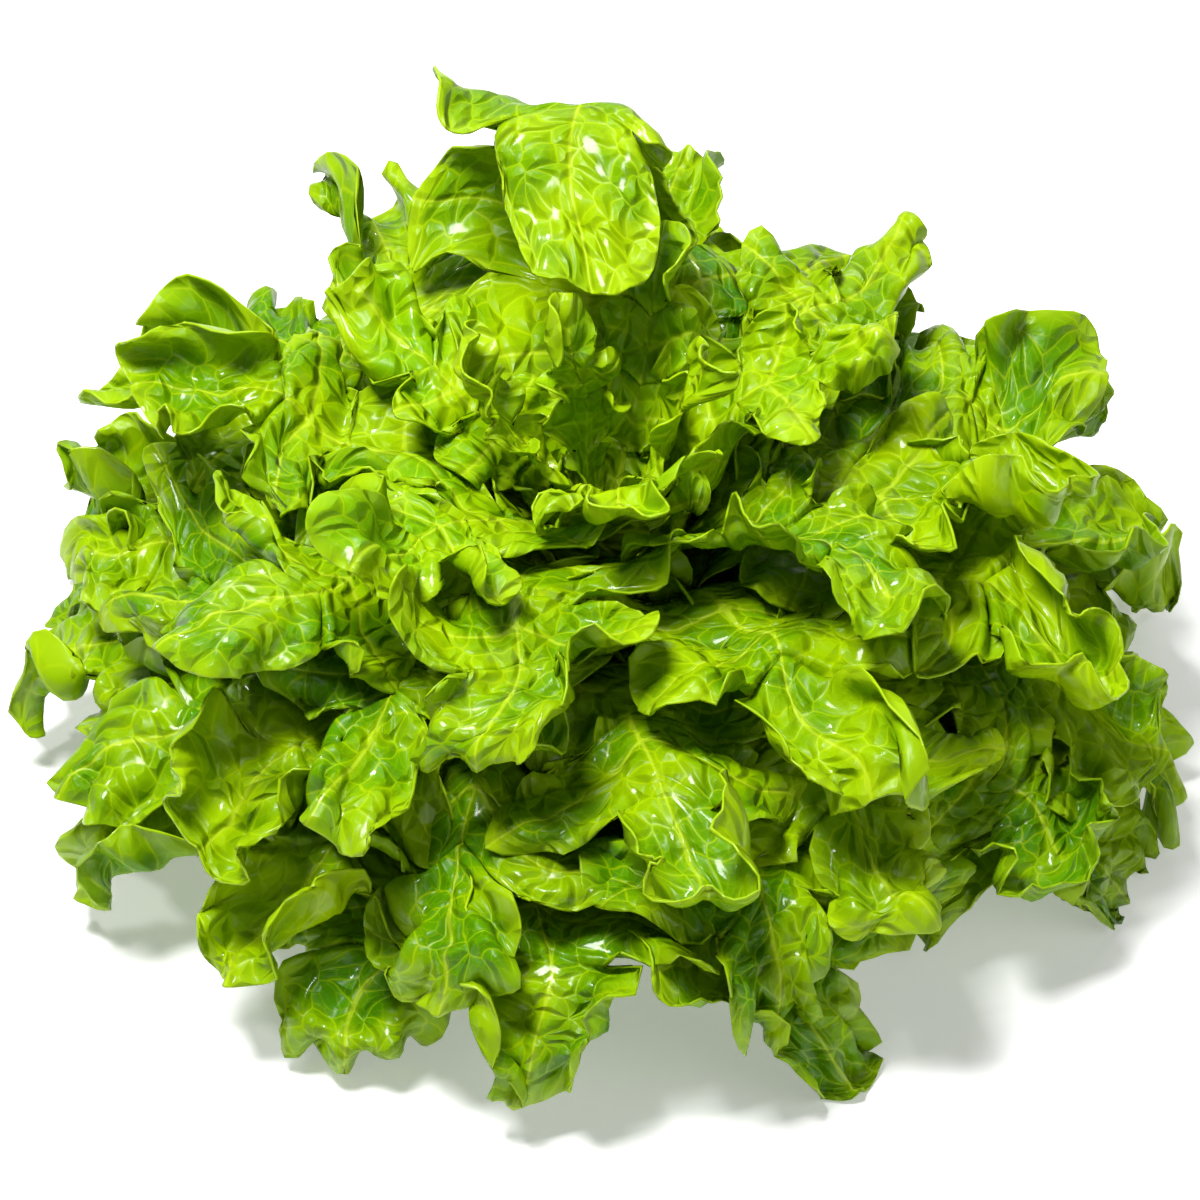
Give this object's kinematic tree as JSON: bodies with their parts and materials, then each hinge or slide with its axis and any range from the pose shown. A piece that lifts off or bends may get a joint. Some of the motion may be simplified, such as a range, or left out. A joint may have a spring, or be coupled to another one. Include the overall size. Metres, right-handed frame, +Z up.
{
  "type": "oak leaf lettuce",
  "caption": "Open rosette head of oak leaf lettuce: deeply lobed, ruffled leaves in a low dome around a short cut stem, one leaf curling over the heart.",
  "frame": {"origin": "centre of the flat cut under the stem, on the surface that the head rests on", "axes": "+Z up along the stem; the side that the picture shows faces -Y, and the leaf that curls over the heart is on the +Y side"},
  "size_m": [0.2999, 0.303, 0.1608],
  "materials": {
    "stem": "moist cut stem, pale cream green",
    "leaf": "glossy, wet, blistered leaf, fresh green",
    "heart_leaf": "glossy young leaf, yellow green"
  },
  "bodies": {
    "root": {"stem": "stem", "leaf_01": "leaf", "leaf_02": "leaf", "leaf_03": "leaf", "leaf_04": "leaf", "leaf_05": "leaf", "leaf_06": "leaf", "leaf_07": "leaf", "leaf_08": "leaf", "leaf_09": "leaf", "leaf_10": "leaf", "leaf_11": "leaf", "leaf_12": "leaf", "leaf_13": "leaf", "leaf_14": "leaf", "leaf_15": "leaf", "leaf_16": "leaf", "leaf_17": "leaf", "leaf_18": "leaf", "leaf_19": "leaf", "leaf_20": "leaf", "leaf_21": "leaf", "leaf_22": "leaf", "leaf_23": "leaf", "leaf_24": "leaf", "leaf_25": "leaf", "leaf_26": "leaf", "leaf_27": "leaf", "leaf_28": "leaf", "leaf_29": "leaf", "leaf_30": "leaf", "leaf_31": "leaf", "leaf_32": "leaf", "leaf_33": "leaf", "leaf_34": "leaf", "leaf_35": "leaf", "leaf_36": "leaf", "leaf_37": "leaf", "leaf_38": "leaf", "leaf_39": "leaf", "leaf_40": "leaf", "leaf_41": "leaf", "leaf_42": "leaf", "leaf_43": "leaf", "leaf_44": "leaf", "leaf_45": "leaf", "leaf_46": "leaf", "leaf_47": "leaf", "leaf_48": "leaf", "leaf_49": "leaf", "leaf_50": "heart_leaf", "leaf_51": "heart_leaf", "leaf_52": "heart_leaf", "leaf_53": "heart_leaf", "leaf_54": "heart_leaf", "leaf_55": "heart_leaf", "leaf_56": "heart_leaf", "leaf_57": "heart_leaf"}
  },
  "joints": []
}
